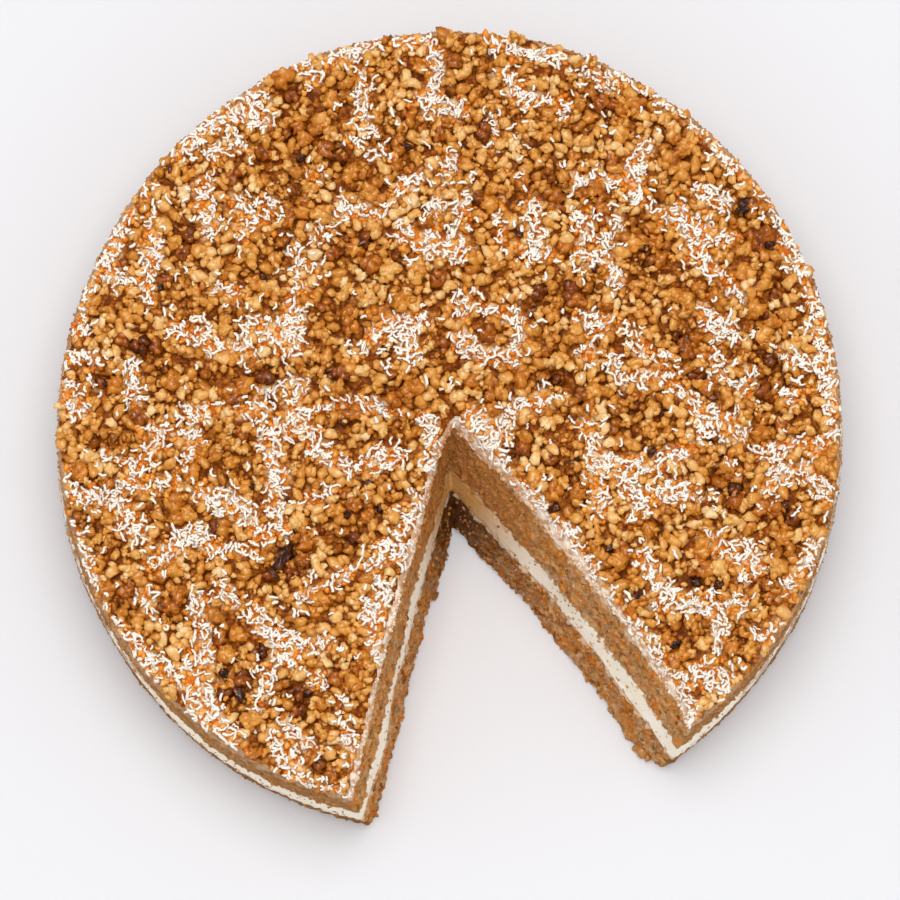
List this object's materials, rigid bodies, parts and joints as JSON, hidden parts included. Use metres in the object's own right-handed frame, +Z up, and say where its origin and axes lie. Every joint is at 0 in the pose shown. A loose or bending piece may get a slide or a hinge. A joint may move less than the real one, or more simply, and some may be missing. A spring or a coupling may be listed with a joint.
{
  "type": "carrot cake",
  "caption": "Round carrot cake with a wedge taken out: naked sponges, cream filling, thin icing, chopped nuts and coconut on top",
  "frame": {"origin": "Centre of the round base, on the plane the cake rests on, inside the bottom sponge's flat underside", "axes": "+Z is up, through the layers. The missing wedge opens towards -Y, a little towards +X."},
  "size_m": [0.2629, 0.2635, 0.0586],
  "materials": {
    "bottom_sponge": "matte crumb",
    "cream_filling": "soft satin cream",
    "top_sponge": "matte crumb",
    "top_icing": "soft satin icing",
    "nut_topping": "glazed nuts and dry coconut"
  },
  "bodies": {
    "root": {"bottom_sponge": "bottom_sponge", "cream_filling": "cream_filling", "top_sponge": "top_sponge", "top_icing": "top_icing", "nut_topping": "nut_topping"}
  },
  "joints": []
}
